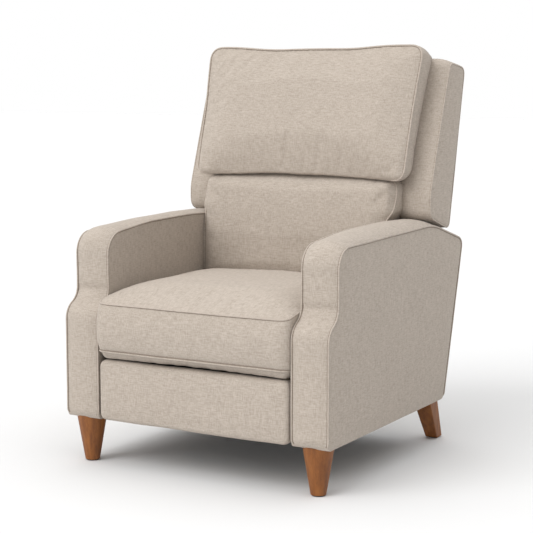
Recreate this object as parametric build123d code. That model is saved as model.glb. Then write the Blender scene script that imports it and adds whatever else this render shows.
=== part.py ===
"""Push-back recliner armchair with a T-shaped back, drawn in millimetres.

X runs across the chair, Y from front to back, Z up.  While drawing, Y = 0 is the
arms' front face and Z = 0 is the floor; save() moves each part so that the middle
of the whole chair stands over the origin.  Right-hand parts are drawn at +X and
mirrored to make the left-hand ones.
"""
from build123d import *
import os
from math import cos, radians, sin

os.makedirs("parts", exist_ok=True)

# ---- whole chair
CHAIR_WIDTH = 720
MIDDLE_Y = 370          # half way between the seat's front and the back's rear
LEG_HEIGHT = 116

# ---- arms
ARM_OUT = CHAIR_WIDTH / 2
ARM_IN = ARM_OUT - 93.4
ARM_SIDE_PAD = 10       # board, foam and cloth on each side of an arm
ARM_BOXING = 14         # padded strip over the arm's edge
ARM_CROWN = 6           # how far the boxing stands proud of the side panels
ARM_STEP = 46           # the front edge steps back by this much
ARM_STEP_LOW = 352
ARM_STEP_HIGH = 440
ARM_TOP_FRONT = 557
ARM_PEAK = (550, 570)
ARM_TAIL = (736, 517)
ARM_HEEL = 628          # rear end of the arm's bottom edge
CORE_IN = ARM_IN + ARM_SIDE_PAD
CORE_OUT = ARM_OUT - ARM_SIDE_PAD
ARM_RAIL = 32           # thickness of the arm's wooden members
ARM_POST_INSET = 6
ARM_POST_REAR = 600
ARM_POST_SLANT = 40
ARM_POST_GAP = 4
ARM_CORNER_R = 42
ARM_PEAK_R = 90
ARM_TAIL_R = 12
ARM_HEEL_R = 14
ARM_TOE_R = 8

# ---- legs
LEG_X = 315.7
GLIDE_HEIGHT = 3
FRONT_LEG_Y = 37
FRONT_LEG_TOP_R = 37
FRONT_LEG_FOOT_R = 18
REAR_LEG_TOP_X = 317.7
REAR_LEG_TOP_Y = 609
REAR_LEG_FOOT_Y = 672
REAR_LEG_TOP = 48
REAR_LEG_FOOT = 33
BOLT_R = 3.9
BOLT_HOLE_R = 4.0
BOLT_BOTTOM = 96
BOLT_TOP = 138
BOLT_ADVANCE = 3        # the raked rear leg's bolt stands this far in front of its middle
FRONT_GLIDE_R = 15
REAR_GLIDE_R = 13
LEG_EDGE_R = 2.5

# ---- base between the arms
CROSS_FRONT_Y = (172, 196)
CROSS_FRONT_Z = (118, 166)
CROSS_REAR_Y = (600, 622)
CROSS_REAR_Z = (118, 240)
SKIRT_DEPTH = 14
SKIRT_EDGE_R = 5
DUST_COVER = 1.6
DUST_COVER_INSET = 4

# ---- steel parts
STEEL = 3.0
BASE_PLATE_X = (ARM_IN - STEEL, ARM_IN)
SEAT_PLATE_X = (255, 258)
PIVOT_R = 8.0
SLIDER_R = 6.0
RUNNING_GAP = 0.06
SLIDE_TRAVEL = 65
SLIDE_RISE = 8          # degrees the seat's path climbs towards the front
SLIDER_Y = (205, 415)
SLIDER_Z = 224
SIDE_CLEAR = 0.3        # between a pin's end and the arm
BASE_PLATE_Y = 110      # front end of the base plates
BASE_PLATE_Z = (203, 256)
BACK_EAR_R = 26         # round the back's pivot
SEAT_PLATE_Z = (200, 244)
PLATE_MARGIN = 15       # steel left round a slot
SHELF_SETBACK = 40      # the plate's shelf starts behind the scissors
TUBE_SETBACK = 46
TUBE_R = 9
TUBE_BORE_R = 7.5

# ---- footrest scissors: STAGES crossing pairs on each side
STAGES = 3
BAR_LENGTH = 98         # between end rivets
BAR_HALF_WIDTH = 9.8
BAR_ANGLE = 76          # degrees from the scissors' axis, folded
BAR_ANGLE_OPEN = 10     # the slots reach a little past the open position
AXIS_RISE = 3           # degrees the scissors' axis climbs towards the front
FIRST_PIVOT = (131, 227)
RIVET_R = 4.0
FALLING_BAR_X = (251.4, 254.8)
RISING_BAR_X = (247.8, 251.2)
HEAD_R = 6.5
HEAD_X = (245.8, 247.6)

# ---- footrest
REST_HALF = 258
REST_PAD_Y = (-3, 28)
REST_BOARD_Y = (28, 40)
REST_Z = (117, 256)
REST_EDGE_R = 12
REST_INSET = 8
FLANGE_X = 230
FLANGE_HALF = 12

# ---- seat
SEAT_HALF = 263
SEAT_FRONT = -12
SEAT_REAR = 462
SEAT_UNDERSIDE = 264
SEAT_WELT_Z = 398
SEAT_CROWN_Z = 446
SEAT_REAR_Z = 436
SEAT_SHOULDER = (62, 435)
SEAT_NOSE = (14, 419)
SEAT_CROWN_Y = 230
SEAT_LOW_EDGE_R = 14
RAIL_X = (218, 240)
RAIL_Z = (222, 258)
RAIL_Y = (50, 455)
SPRING_WIRE_R = 1.9
SPRING_XS = (-150, -50, 50, 150)
SPRING_HALF_WIDTH = 22
SPRING_PITCH = 24
SPRING_END = 10
DECK_CLOTH = 1.4

# ---- back
BACK_HALF = 257         # between the arms
BACK_TOP_HALF = 352     # above the arms
BACK_BOTTOM = 280
BACK_SEAM_Z = 556       # the outer back widens here
BEND_Z = 550            # the back's rear face bends here
BEND_Y = 662
REAR_LEAN_LOW = 0.035   # run per unit of height
REAR_LEAN_HIGH = 0.225
WING_PLANE_Y = 554      # front plane of the wings at WING_PLANE_Z
WING_PLANE_Z = 674
WING_LEAN = 0.353
BACK_TOP = 950
OUTER_BACK = 10
POST_DEPTH = 45
POST_X = (233, BACK_HALF)
POST_TOP = 930
CROSS_RAIL = 45
BOTTOM_RAIL_Z = 305
WEB_XS = (-150, 0, 150)
WEB_HALF = 25
WEB_THICK = 1.6
CORE_DEPTH = 35
CORE_Z = (305, 940)
WING_IN = 262
WING_OUT = BACK_TOP_HALF + 2
WING_TOP_R = 14
WING_FOOT_R = 20
WING_TOP = 966
WING_REAR_TOP = 957
WING_FOOT = [(546, 626), (546, 600), (568, 581)]
BACK_PIVOT = (620, 300)
BRACKET_Z = (276, 420)
BRACKET_HALF = 18
BRACKET_LEAN = 6

# ---- cushions on the back
CUSHION_GAP = 0.3
LUMBAR_HALF = 261.5
LUMBAR_LOW = (466, 408)
LUMBAR_BELLY = (464, 540)
LUMBAR_NOSE = (500, 660)
LUMBAR_CROWN = (526, 682)
LUMBAR_TOP = (572, 682)
LUMBAR_REAR_TOP = 678
PILLOW_HALF = 313
PILLOW_LOW = (497, 688)
PILLOW_BELLY = (520, 855)
PILLOW_NOSE = (584, 1008)
PILLOW_CROWN = (620, 1016)
PILLOW_TOP = (655, 1004)
PILLOW_REAR_Z = (691, 992)


# ---- helpers
def save(node, shape):
    shape = Pos(0, -MIDDLE_Y, 0) * shape
    shape.label = node
    export_step(shape, f"parts/{node}.step")


def both_sides(name, right):
    save(f"{name}_right", right)
    save(f"{name}_left", mirror(right, about=Plane.YZ))


def pair(right):
    return Compound(children=[*right.solids(), *mirror(right, about=Plane.YZ).solids()])


def side_solid(face, x_from, x_to):
    """Extrude a face drawn as (Y, Z) from one X to another."""
    return extrude(Plane.YZ.offset(x_from) * face, x_to - x_from)


def polygon(*corners):
    return make_face(Polyline(*corners, close=True))


def round_at(face, corner, radius):
    nearest = face.vertices().sort_by_distance((*corner, 0))[0]
    return fillet(nearest, radius)


def block(xs, ys, zs):
    size = [high - low for low, high in (xs, ys, zs)]
    middle = [(low + high) / 2 for low, high in (xs, ys, zs)]
    return Pos(*middle) * Box(*size)


def rod_x(centre, radius, x_from, x_to):
    return side_solid(Pos(*centre) * Circle(radius), x_from, x_to)


# ---- arms
def arm_outline():
    """Side view of an arm: stepped front, rounded top corner, falling rear end."""
    half_way = (ARM_STEP / 2, (ARM_STEP_LOW + ARM_STEP_HIGH) / 2)
    top_of_step = (ARM_STEP, ARM_STEP_HIGH)
    foot_of_step = (0, ARM_STEP_LOW)
    lower_arc = TangentArc(foot_of_step, half_way, tangent=(0, 1))
    upper_arc = TangentArc(half_way, top_of_step, tangent=lower_arc % 1)
    corner = (ARM_STEP, ARM_TOP_FRONT)
    toe = (0, LEG_HEIGHT)
    heel = (ARM_HEEL, LEG_HEIGHT)
    rest = Polyline(top_of_step, corner, ARM_PEAK, ARM_TAIL, heel, toe, foot_of_step)
    face = make_face([*lower_arc.edges(), *upper_arc.edges(), *rest.edges()])
    face = round_at(face, corner, ARM_CORNER_R)
    face = round_at(face, ARM_PEAK, ARM_PEAK_R)
    face = round_at(face, ARM_TAIL, ARM_TAIL_R)
    face = round_at(face, heel, ARM_HEEL_R)
    return round_at(face, toe, ARM_TOE_R)


def arm_upholstery():
    outline = arm_outline()
    both_sides("arm_outer_side", side_solid(outline, CORE_OUT, ARM_OUT))
    both_sides("arm_inner_side", side_solid(outline, ARM_IN, CORE_IN))
    hollow = offset(outline, -ARM_BOXING)
    strip = side_solid(offset(outline, ARM_CROWN), CORE_IN, CORE_OUT)
    strip -= side_solid(hollow, CORE_IN, CORE_OUT)
    below = block((CORE_IN, CORE_OUT), (-ARM_BOXING, ARM_TAIL[0]), (0, LEG_HEIGHT))
    opening_y = (ARM_BOXING, ARM_HEEL - ARM_BOXING)
    opening_z = (LEG_HEIGHT, LEG_HEIGHT + 2 * ARM_BOXING)
    strip -= below + block((CORE_IN, CORE_OUT), opening_y, opening_z)
    both_sides("arm_boxing", strip)


def arm_frame():
    rail_top = LEG_HEIGHT + ARM_RAIL
    lower_y = (ARM_BOXING, ARM_HEEL - ARM_BOXING)
    bottom_rail = block((CORE_IN, CORE_OUT), lower_y, (LEG_HEIGHT, rail_top))
    for _, rail_y in leg_bolt_places():
        bottom_rail -= Pos(LEG_X, rail_y, LEG_HEIGHT) * Cylinder(BOLT_HOLE_R, 2 * ARM_RAIL + 1)
    save("arm_bottom_rails", pair(bottom_rail))

    xs = (CORE_IN + ARM_POST_INSET, CORE_OUT - ARM_POST_INSET)
    post_front = ARM_STEP + ARM_BOXING + ARM_POST_GAP
    post_y = (post_front, post_front + ARM_RAIL)
    top_z = ARM_TOP_FRONT - ARM_RAIL
    save("arm_front_posts", pair(block(xs, post_y, (rail_top, top_z - ARM_RAIL))))

    post_foot = ARM_POST_REAR
    post_head = ARM_POST_REAR + ARM_POST_SLANT
    rear_post = polygon(
        (post_foot - ARM_RAIL, rail_top), (post_foot, rail_top),
        (post_head, top_z - ARM_RAIL), (post_head - ARM_RAIL, top_z - ARM_RAIL))
    save("arm_rear_posts", pair(side_solid(rear_post, *xs)))

    top_rail = block(xs, (post_front, post_head), (top_z - ARM_RAIL, top_z))
    save("arm_top_rails", pair(top_rail))


# ---- legs
def leg_bolt_places():
    """(leg's middle Y, bolt's Y) for the front and the rear leg of one side."""
    return ((FRONT_LEG_Y, FRONT_LEG_Y), (REAR_LEG_TOP_Y, REAR_LEG_TOP_Y - BOLT_ADVANCE))


def legs():
    height = LEG_HEIGHT - GLIDE_HEIGHT
    turned = Cone(FRONT_LEG_FOOT_R, FRONT_LEG_TOP_R, height)
    front = Pos(LEG_X, FRONT_LEG_Y, GLIDE_HEIGHT + height / 2) * turned
    top = Pos(REAR_LEG_TOP_X, REAR_LEG_TOP_Y, LEG_HEIGHT) * Rectangle(REAR_LEG_TOP, REAR_LEG_TOP)
    foot = Pos(LEG_X, REAR_LEG_FOOT_Y, GLIDE_HEIGHT) * Rectangle(REAR_LEG_FOOT, REAR_LEG_FOOT)
    rear = loft([foot.face(), top.face()])
    rear = fillet(rear.edges().filter_by(lambda edge: edge.length > height), LEG_EDGE_R)
    bolts = []
    for leg_name, leg, place in zip(("front_leg", "rear_leg"), (front, rear), leg_bolt_places()):
        bolt_y = place[1]
        length = BOLT_TOP - BOLT_BOTTOM
        centre = Pos(LEG_X, bolt_y, (BOLT_TOP + BOLT_BOTTOM) / 2)
        both_sides(leg_name, leg - centre * Cylinder(BOLT_HOLE_R, length))
        bolts.append(centre * Cylinder(BOLT_R, length))
    save("leg_bolts", pair(Compound(children=bolts)))

    front_glide = Pos(LEG_X, FRONT_LEG_Y, GLIDE_HEIGHT / 2) * Cylinder(FRONT_GLIDE_R, GLIDE_HEIGHT)
    rear_glide = Pos(LEG_X, REAR_LEG_FOOT_Y, GLIDE_HEIGHT / 2) * Cylinder(REAR_GLIDE_R, GLIDE_HEIGHT)
    save("leg_glides", pair(Compound(children=[front_glide, rear_glide])))


# ---- base
def base_rails():
    between_arms = (-ARM_IN, ARM_IN)
    between_plates = (-BASE_PLATE_X[0], BASE_PLATE_X[0])
    save("base_front_rail", block(between_arms, CROSS_FRONT_Y, CROSS_FRONT_Z))
    save("base_rear_rail", block(between_plates, CROSS_REAR_Y, CROSS_REAR_Z))
    skirt_y = (CROSS_REAR_Y[1], CROSS_REAR_Y[1] + SKIRT_DEPTH)
    skirt = block(between_plates, skirt_y, CROSS_REAR_Z)
    rear_edges = skirt.edges().group_by(Axis.Y)[-1]
    save("rear_skirt", fillet(rear_edges, SKIRT_EDGE_R))
    under = CROSS_FRONT_Z[0]
    dust_y = (CROSS_FRONT_Y[0], CROSS_REAR_Y[1])
    dust_half = ARM_IN - DUST_COVER_INSET
    save("dust_cover", block((-dust_half, dust_half), dust_y, (under - DUST_COVER, under)))


def slide_direction():
    return (-cos(radians(SLIDE_RISE)), sin(radians(SLIDE_RISE)))


def base_plate():
    """Side plate on the arm: two sloping slots for the seat and an ear for the back."""
    low, high = BASE_PLATE_Z
    ear = BACK_EAR_R
    pivot_y, pivot_z = BACK_PIVOT
    plate = polygon(
        (BASE_PLATE_Y, low), (pivot_y + ear, low), (pivot_y + ear, pivot_z),
        (pivot_y - ear, pivot_z), (pivot_y - 2 * ear, high), (BASE_PLATE_Y, high))
    plate += Pos(*BACK_PIVOT) * Circle(ear)
    plate -= Pos(*BACK_PIVOT) * Circle(PIVOT_R + RUNNING_GAP)
    run, rise = slide_direction()
    for slider_y in SLIDER_Y:
        middle = (slider_y + run * SLIDE_TRAVEL / 2, SLIDER_Z + rise * SLIDE_TRAVEL / 2)
        slot = SlotCenterToCenter(SLIDE_TRAVEL, 2 * (SLIDER_R + RUNNING_GAP))
        plate -= Pos(*middle) * Rot(0, 0, -SLIDE_RISE) * slot
    both_sides("base_plate", side_solid(plate, *BASE_PLATE_X))


# ---- footrest scissors
def station(number, angle=BAR_ANGLE, low=False):
    """A rivet's (Y, Z): number counts stations forwards from the seat plate."""
    along = number * BAR_LENGTH * cos(radians(angle))
    down = BAR_LENGTH * sin(radians(angle)) if low else 0
    rise = radians(AXIS_RISE)
    y = FIRST_PIVOT[0] - along * cos(rise) - down * sin(rise)
    z = FIRST_PIVOT[1] + along * sin(rise) - down * cos(rise)
    return (y, z)


def bar_face(rear, front):
    middle = ((rear[0] + front[0]) / 2, (rear[1] + front[1]) / 2)
    return SlotCenterPoint(middle, front, 2 * BAR_HALF_WIDTH)


def hole(centre):
    return Pos(*centre) * Circle(RIVET_R + RUNNING_GAP)


def rivet(centre, x_outer):
    """Rivet headed on the inside, reaching out to x_outer."""
    shank = rod_x(centre, RIVET_R, HEAD_X[1], x_outer)
    return shank + rod_x(centre, HEAD_R, *HEAD_X)


def falling_bar(number):
    """Bar running down towards the front; it carries the rivets of its stage."""
    rear = station(number)
    front = station(number + 1, low=True)
    middle = ((rear[0] + front[0]) / 2, (rear[1] + front[1]) / 2)
    bar = side_solid(bar_face(rear, front), *FALLING_BAR_X)
    outer = SEAT_PLATE_X[1] if number == 0 else FALLING_BAR_X[1]
    bar += rivet(rear, outer)
    bar += rivet(middle, FALLING_BAR_X[1])
    return bar + rivet(front, FALLING_BAR_X[1])


def rising_bar(number):
    """Bar running up towards the front, on the inner side of the falling bars."""
    rear = station(number, low=True)
    front = station(number + 1)
    middle = ((rear[0] + front[0]) / 2, (rear[1] + front[1]) / 2)
    face = bar_face(rear, front) - hole(middle) - hole(front)
    if number > 0:
        return side_solid(face - hole(rear), *RISING_BAR_X)
    return side_solid(face, *RISING_BAR_X) + rivet(rear, SEAT_PLATE_X[1])


def scissors():
    for number in range(STAGES):
        both_sides(f"scissor_falling_bar_{number + 1}", falling_bar(number))
        both_sides(f"scissor_rising_bar_{number + 1}", rising_bar(number))


# ---- seat carriage
def seat_plate():
    """Steel angle under each seat rail: scissor pivot, its slot and two sliders."""
    low_end = station(0, BAR_ANGLE, low=True)
    high_end = station(0, BAR_ANGLE_OPEN, low=True)
    bottom, top = SEAT_PLATE_Z
    shelf_z = (RAIL_Z[0] - STEEL, RAIL_Z[0])
    ear_front = low_end[0] - PLATE_MARGIN
    ear_rear = low_end[0] + PLATE_MARGIN
    ear_bottom = low_end[1] - PLATE_MARGIN
    face = polygon(
        (ear_front, ear_bottom), (ear_rear, ear_bottom), (ear_rear, bottom),
        (RAIL_Y[1], bottom), (RAIL_Y[1], top), (ear_front, top))
    face -= hole(FIRST_PIVOT)
    slot_middle = ((low_end[0] + high_end[0]) / 2, (low_end[1] + high_end[1]) / 2)
    face -= SlotCenterPoint(slot_middle, high_end, 2 * (RIVET_R + RUNNING_GAP))
    plate = side_solid(face, *SEAT_PLATE_X)
    shelf_y = (FIRST_PIVOT[0] + SHELF_SETBACK, RAIL_Y[1])
    plate += block((RAIL_X[0], SEAT_PLATE_X[0]), shelf_y, shelf_z)
    for slider_y in SLIDER_Y:
        plate += rod_x((slider_y, SLIDER_Z), SLIDER_R, SEAT_PLATE_X[1], BASE_PLATE_X[1] - SIDE_CLEAR)
    both_sides("seat_plate", plate)


def seat_frame():
    inner = (-RAIL_X[0], RAIL_X[0])
    thick = RAIL_X[1] - RAIL_X[0]
    both_sides("seat_side_rail", block(RAIL_X, RAIL_Y, RAIL_Z))
    save("seat_front_rail", block(inner, (RAIL_Y[0], RAIL_Y[0] + thick), RAIL_Z))
    save("seat_rear_rail", block(inner, (RAIL_Y[1] - thick, RAIL_Y[1]), RAIL_Z))
    tube_middle = (FIRST_PIVOT[0] + TUBE_SETBACK, RAIL_Z[0] - STEEL - TUBE_R)
    tube = rod_x(tube_middle, TUBE_R, -SEAT_PLATE_X[0], SEAT_PLATE_X[0])
    tube -= rod_x(tube_middle, TUBE_BORE_R, -SEAT_PLATE_X[0], SEAT_PLATE_X[0])
    save("carriage_cross_tube", tube)


def sinuous_spring(x):
    """Flat wire spring: half circles joined by straight cross pieces."""
    wire_z = RAIL_Z[1] + SPRING_WIRE_R
    bend = SPRING_PITCH / 2
    reach = SPRING_HALF_WIDTH - bend / 2
    count = int((RAIL_Y[1] - RAIL_Y[0] - 2 * SPRING_END) / bend)
    start_y = RAIL_Y[0] + SPRING_END
    pieces = []
    for turn in range(count):
        y = start_y + turn * bend
        side = 1 if turn % 2 else -1
        pieces.append(Line((x - side * reach, y), (x + side * reach, y)))
        outermost = (x + side * (reach + bend / 2), y + bend / 2)
        pieces.append(ThreePointArc((x + side * reach, y), outermost, (x + side * reach, y + bend)))
    path = Pos(0, 0, wire_z) * Wire([edge for piece in pieces for edge in piece.edges()])
    section = Plane(path @ 0, z_dir=path % 0) * Circle(SPRING_WIRE_R)
    return sweep(section, path)


def seat_suspension():
    save("seat_springs", Compound(children=[sinuous_spring(x) for x in SPRING_XS]))
    cloth_low = RAIL_Z[1] + 2 * SPRING_WIRE_R + 0.2
    cloth_z = (cloth_low, cloth_low + DECK_CLOTH)
    save("seat_deck_cloth", block((-RAIL_X[1], RAIL_X[1]), RAIL_Y, cloth_z))


def seat_cushion():
    top_front = (SEAT_FRONT, SEAT_WELT_Z)
    low_front = (SEAT_FRONT, SEAT_UNDERSIDE)
    top_rear = (SEAT_REAR, SEAT_REAR_Z)
    nose = ThreePointArc(top_front, SEAT_NOSE, SEAT_SHOULDER)
    crown = ThreePointArc(SEAT_SHOULDER, (SEAT_CROWN_Y, SEAT_CROWN_Z), top_rear)
    base = Polyline(top_rear, (SEAT_REAR, SEAT_UNDERSIDE), low_front, top_front)
    face = make_face([*nose.edges(), *crown.edges(), *base.edges()])
    face = round_at(face, low_front, SEAT_LOW_EDGE_R)
    save("seat_cushion", side_solid(face, -SEAT_HALF, SEAT_HALF))


# ---- footrest
def footrest():
    pad = block((-REST_HALF, REST_HALF), REST_PAD_Y, REST_Z)
    front_edges = pad.edges().group_by(Axis.Y)[0]
    save("footrest_pad", fillet(front_edges, REST_EDGE_R))
    board_x = (-REST_HALF + REST_INSET, REST_HALF - REST_INSET)
    board_z = (REST_Z[0] + REST_INSET, REST_Z[1] - REST_INSET)
    save("footrest_board", block(board_x, REST_BOARD_Y, board_z))
    tip = station(STAGES)
    foot_y = REST_BOARD_Y[1]
    flange_z = (tip[1] - FLANGE_HALF, tip[1] + FLANGE_HALF)
    flag = polygon((foot_y, flange_z[0]), tip, (foot_y, flange_z[1])) + Pos(*tip) * Circle(BAR_HALF_WIDTH)
    bracket = side_solid(flag, *FALLING_BAR_X)
    bracket += block((FLANGE_X, FALLING_BAR_X[1]), (foot_y, foot_y + STEEL), flange_z)
    bracket += rivet(tip, FALLING_BAR_X[1])
    save("footrest_brackets", pair(bracket))


# ---- back
def rear_y(z):
    lean = REAR_LEAN_HIGH if z > BEND_Z else REAR_LEAN_LOW
    return BEND_Y + lean * (z - BEND_Z)


def wing_plane_y(z):
    return WING_PLANE_Y + WING_LEAN * (z - WING_PLANE_Z)


def back_layer(front, rear, z_low, z_high):
    """Outline between two depths measured forwards from the back's rear face."""
    heights = [z for z in (z_low, BEND_Z, z_high) if z_low <= z <= z_high]
    rear_edge = [(rear_y(z) - rear, z) for z in heights]
    front_edge = [(rear_y(z) - front, z) for z in reversed(heights)]
    return polygon(*rear_edge, *front_edge)


def back_frame():
    rear, front = OUTER_BACK, OUTER_BACK + POST_DEPTH
    both_sides("back_post", side_solid(back_layer(front, rear, BACK_BOTTOM, POST_TOP), *POST_X))
    inner = (-POST_X[0], POST_X[0])
    top_rail = back_layer(front, rear, POST_TOP - CROSS_RAIL, POST_TOP)
    save("back_top_rail", side_solid(top_rail, *inner))
    bottom_rail = back_layer(front, rear, BOTTOM_RAIL_Z, BOTTOM_RAIL_Z + CROSS_RAIL)
    save("back_bottom_rail", side_solid(bottom_rail, *inner))
    web = back_layer(front + WEB_THICK, front, BOTTOM_RAIL_Z, POST_TOP)
    bands = [side_solid(web, x - WEB_HALF, x + WEB_HALF) for x in WEB_XS]
    save("back_webbing", Compound(children=bands))

    pivot_y = BACK_PIVOT[0]
    low, high = BRACKET_Z
    plate = polygon(
        (pivot_y - BRACKET_HALF, low), (pivot_y + BRACKET_HALF, low),
        (pivot_y + BRACKET_HALF + BRACKET_LEAN, high), (pivot_y - BRACKET_HALF + BRACKET_LEAN, high))
    bracket = side_solid(plate, BACK_HALF, BACK_HALF + STEEL)
    bracket += rod_x(BACK_PIVOT, PIVOT_R, BACK_HALF + STEEL, BASE_PLATE_X[1] - SIDE_CLEAR)
    save("back_brackets", pair(bracket))


def back_covers():
    low_panel = back_layer(OUTER_BACK, 0, BACK_BOTTOM, BACK_SEAM_Z)
    high_panel = back_layer(OUTER_BACK, 0, BACK_SEAM_Z, BACK_TOP)
    outer_back = side_solid(low_panel, -BACK_HALF, BACK_HALF)
    outer_back += side_solid(high_panel, -BACK_TOP_HALF, BACK_TOP_HALF)
    save("outer_back", outer_back)

    behind = OUTER_BACK + POST_DEPTH + WEB_THICK
    ahead = behind + CORE_DEPTH
    low, high = CORE_Z
    pillow_foot = PILLOW_REAR_Z[0]
    core = polygon(
        (rear_y(low) - behind, low), (rear_y(BEND_Z) - behind, BEND_Z),
        (rear_y(high) - behind, high), (wing_plane_y(high), high),
        (wing_plane_y(pillow_foot), pillow_foot), (rear_y(pillow_foot) - ahead, pillow_foot),
        (rear_y(BEND_Z) - ahead, BEND_Z), (rear_y(low) - ahead, low))
    save("back_core_pad", side_solid(core, -BACK_HALF, BACK_HALF))

    top_front = (wing_plane_y(WING_TOP), WING_TOP)
    wing = polygon(
        top_front, (WING_PLANE_Y, WING_PLANE_Z), *WING_FOOT,
        (rear_y(BACK_SEAM_Z) - OUTER_BACK, BACK_SEAM_Z),
        (rear_y(WING_REAR_TOP) - OUTER_BACK, WING_REAR_TOP))
    wing = round_at(wing, top_front, WING_TOP_R)
    wing = round_at(wing, WING_FOOT[-1], WING_FOOT_R)
    both_sides("back_wing", side_solid(wing, WING_IN, WING_OUT))


def back_cushions():
    """The lumbar cushion sits between the arms, the head pillow over the wings."""
    core_front = OUTER_BACK + POST_DEPTH + WEB_THICK + CORE_DEPTH + CUSHION_GAP
    front = ThreePointArc(LUMBAR_LOW, LUMBAR_BELLY, LUMBAR_NOSE)
    top = ThreePointArc(LUMBAR_NOSE, LUMBAR_CROWN, LUMBAR_TOP)
    rear_zs = (LUMBAR_REAR_TOP, BEND_Z, LUMBAR_LOW[1])
    rear_points = [(rear_y(z) - core_front, z) for z in rear_zs]
    rear = Polyline(LUMBAR_TOP, *rear_points, LUMBAR_LOW)
    lumbar = make_face([*front.edges(), *top.edges(), *rear.edges()])
    save("lumbar_cushion", side_solid(lumbar, -LUMBAR_HALF, LUMBAR_HALF))

    front = ThreePointArc(PILLOW_LOW, PILLOW_BELLY, PILLOW_NOSE)
    top = ThreePointArc(PILLOW_NOSE, PILLOW_CROWN, PILLOW_TOP)
    low_z, high_z = PILLOW_REAR_Z
    rear = Polyline(
        PILLOW_TOP, (wing_plane_y(high_z) - CUSHION_GAP, high_z),
        (wing_plane_y(low_z) - CUSHION_GAP, low_z), PILLOW_LOW)
    pillow = make_face([*front.edges(), *top.edges(), *rear.edges()])
    save("head_pillow", side_solid(pillow, -PILLOW_HALF, PILLOW_HALF))


arm_upholstery()
arm_frame()
legs()
base_rails()
base_plate()
scissors()
seat_plate()
seat_frame()
seat_suspension()
seat_cushion()
footrest()
back_frame()
back_covers()
back_cushions()
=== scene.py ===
"""Looks of the push-back recliner armchair: linen upholstery with welts, wooden legs, steel mechanism.

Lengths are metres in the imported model's frame.  Side views are drawn with Y measured
from the arms' front face, as the chair itself is laid out, and FRONT_Y moves them
into the frame.
"""
import math

import bpy
import numpy as np
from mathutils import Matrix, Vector, noise
from mathutils.geometry import delaunay_2d_cdt


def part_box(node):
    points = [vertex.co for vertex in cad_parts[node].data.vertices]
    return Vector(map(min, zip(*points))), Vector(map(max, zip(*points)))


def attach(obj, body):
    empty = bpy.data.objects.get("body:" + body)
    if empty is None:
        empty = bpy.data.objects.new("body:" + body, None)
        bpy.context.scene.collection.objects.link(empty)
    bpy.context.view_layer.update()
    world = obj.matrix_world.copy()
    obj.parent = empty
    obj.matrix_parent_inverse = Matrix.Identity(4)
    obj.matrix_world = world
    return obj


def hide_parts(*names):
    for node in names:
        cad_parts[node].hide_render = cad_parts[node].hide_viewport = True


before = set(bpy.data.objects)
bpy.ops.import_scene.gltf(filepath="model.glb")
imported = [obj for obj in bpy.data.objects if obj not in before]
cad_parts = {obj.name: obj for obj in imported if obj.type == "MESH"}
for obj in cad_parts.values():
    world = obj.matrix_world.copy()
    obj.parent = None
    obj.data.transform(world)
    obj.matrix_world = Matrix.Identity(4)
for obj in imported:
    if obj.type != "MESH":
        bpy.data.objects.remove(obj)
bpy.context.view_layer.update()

# ---- main dimensions
# Arms: their front face, the right one's inner and outer face, and their underside.
FRONT_Y = -0.370
ARM_IN = 0.2666
ARM_OUT = 0.360
ARM_LOW = 0.112

# Radii of the piping, how deep the dark cord of painted shade lies in the crease round it, and how much
# thicker that cord is.
WELT_R = 0.0021
ARM_WELT_R = 0.0023
OUTER_BACK_WELT_R = 0.0024
PILLOW_WELT_R = 0.0025
PAINTED_SHADE_DEPTH = 0.0018
PAINTED_SHADE_SPREAD = 0.0008

# Back: half its width above the arms and between them.
WING_OUT = 0.354
LOWER_BACK_HALF = 0.257

# The back's rear face bends at one height and leans less below it; leans are metres of Y per
# metre of Z.  CORE_FRONT is the distance from that face forward to the core pad's front.
BEND_Z = 0.550
BEND_Y = 0.662
LEAN_LOW = 0.035
LEAN_HIGH = 0.225
CORE_FRONT = 0.0915

# Cushions: half widths at the seams, and how far out the seat's piping may reach.
SEAT_HALF = 0.2632
WELT_REACH = 0.2620
LUMBAR_HALF = 0.277
PILLOW_HALF = 0.312

# The pillow's back plane: Y and Z of its lower edge, and its run to the upper one.
PILLOW_BACK_Y = 0.5615
PILLOW_BACK_Z = 0.694
PILLOW_RUN_Y = 0.1035
PILLOW_RUN_Z = 0.298

# Flat sizes of the two cloths, across the chair and along it.
DUST_COVER_FLAT = (0.5252, 0.450)
SEAT_DECK_FLAT = (0.480, 0.405)

# (Y, Z, corner radius) round each side view
ARM_CORNERS = [
    (0.0, ARM_LOW, 0.010), (0.0, 0.378, 0.0425), (0.046, 0.402, 0.0425), (0.046, 0.557, 0.050),
    (0.550, 0.569, 0.300), (0.736, 0.517, 0.022), (0.628, 0.116, 0.016)]
WING_CORNERS = [
    (0.545, 0.589, 0.026), (0.545, 0.645, 0.080), (0.656, 0.971, 0.018),
    (0.7475, 0.957, 0.016), (0.6605, 0.551, 0.012)]
LOWER_BACK_CORNERS = [
    (0.562, 0.305, 0.010), (0.568, 0.545, 0.050), (0.578, 0.600, 0.010),
    (0.612, 0.600, 0.010), (0.604, 0.545, 0.050), (0.596, 0.305, 0.010)]


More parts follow.
